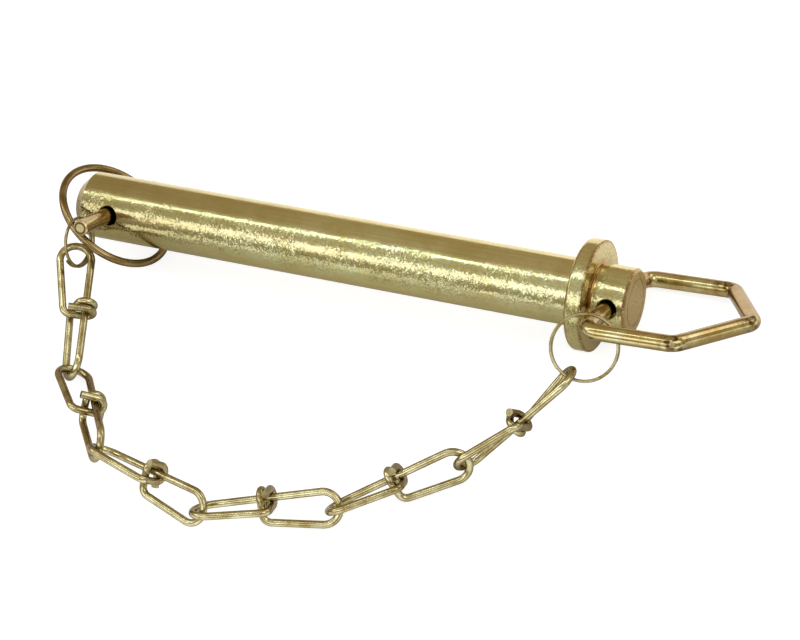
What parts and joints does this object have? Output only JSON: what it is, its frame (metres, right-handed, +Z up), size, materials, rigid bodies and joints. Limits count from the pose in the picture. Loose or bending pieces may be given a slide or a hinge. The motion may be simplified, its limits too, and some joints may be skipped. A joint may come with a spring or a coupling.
{
  "type": "hitch pin",
  "caption": "Collared drawbar hitch pin with a wire bail handle, a linch pin with a spring ring through the tip, and a knotted wire keeper chain.",
  "frame": {"origin": "on the bolt's axis, in the plane of the collar's seat, the face that stops against the drawbar", "axes": "+X along the bolt's axis from the tip to the head, +Z up from the floor that the pin lies on"},
  "size_m": [0.2767, 0.1511, 0.0424],
  "materials": {
    "bolt": "turned steel, yellow zinc plated, slightly gritty",
    "wire": "drawn wire, yellow zinc plated, smooth",
    "linch": "drawn steel, yellow zinc plated, smooth",
    "split_ring": "spring wire, yellow zinc plated, smooth",
    "chain": "formed wire, yellow zinc plated, smooth"
  },
  "bodies": {
    "bolt": {"bolt": "bolt"},
    "bail": {"bail": "wire"},
    "linch_pin": {"linch_pin": "linch"},
    "spring_ring": {"spring_ring": "linch"},
    "left_ring": {"left_split_ring": "split_ring"},
    "right_ring": {"right_split_ring": "split_ring"},
    "link_1": {"chain_link_1": "chain"},
    "link_2": {"chain_link_2": "chain"},
    "link_3": {"chain_link_3": "chain"},
    "link_4": {"chain_link_4": "chain"},
    "link_5": {"chain_link_5": "chain"},
    "link_6": {"chain_link_6": "chain"}
  },
  "joints": [
    {"name": "bail_swing", "type": "hinge", "parent": "bolt", "child": "bail", "pos_m": [0.0135, 0, 0], "axis": [0, -0.8417, 0.54], "range_deg": [-20, 80]},
    {"name": "linch_pin_turn", "type": "hinge", "parent": "bolt", "child": "linch_pin", "pos_m": [-0.18785, 0, 0], "axis": [0, -0.8173, 0.5762], "range_deg": [-1, 1]},
    {"name": "ring_swing", "type": "hinge", "parent": "linch_pin", "child": "spring_ring", "pos_m": [-0.18785, 0.01763, -0.01243], "axis": [0.7757, -0.3636, -0.5158], "range_deg": [0, 120]},
    {"name": "left_ring_swing", "type": "hinge", "parent": "spring_ring", "child": "left_ring", "pos_m": [-0.19305, -0.02176, 0.00752], "axis": [-0.4047, -0.2447, -0.8811], "range_deg": [-2, 2]},
    {"name": "chain_swing", "type": "hinge", "parent": "bolt", "child": "right_ring", "pos_m": [0.00968, -0.0407, 0.00602], "axis": [-0.9963, 0.0814, -0.0289], "range_deg": [-2, 2]},
    {"name": "link_1_roll", "type": "hinge", "parent": "right_ring", "child": "link_1", "pos_m": [-0.18933, -0.04554, -0.0078], "axis": [0.2966, -0.8982, -0.3245], "range_deg": [-3, 3]},
    {"name": "link_2_roll", "type": "hinge", "parent": "right_ring", "child": "link_2", "pos_m": [-0.16681, -0.08534, -0.01123], "axis": [0.6356, -0.75, 0.1828], "range_deg": [-3, 3]},
    {"name": "link_3_roll", "type": "hinge", "parent": "right_ring", "child": "link_3", "pos_m": [-0.12846, -0.11059, -0.00855], "axis": [0.9527, -0.2954, -0.0721], "range_deg": [-3, 3]},
    {"name": "link_4_roll", "type": "hinge", "parent": "right_ring", "child": "link_4", "pos_m": [-0.08276, -0.10977, -0.01257], "axis": [0.9395, 0.3294, -0.0944], "range_deg": [-3, 3]},
    {"name": "link_5_roll", "type": "hinge", "parent": "right_ring", "child": "link_5", "pos_m": [-0.04004, -0.08854, -0.0124], "axis": [0.8294, 0.5494, 0.1012], "range_deg": [-3, 3]},
    {"name": "link_6_roll", "type": "hinge", "parent": "right_ring", "child": "link_6", "pos_m": [-0.00517, -0.05799, -0.00197], "axis": [0.6148, 0.7159, 0.3308], "range_deg": [-3, 3]}
  ]
}
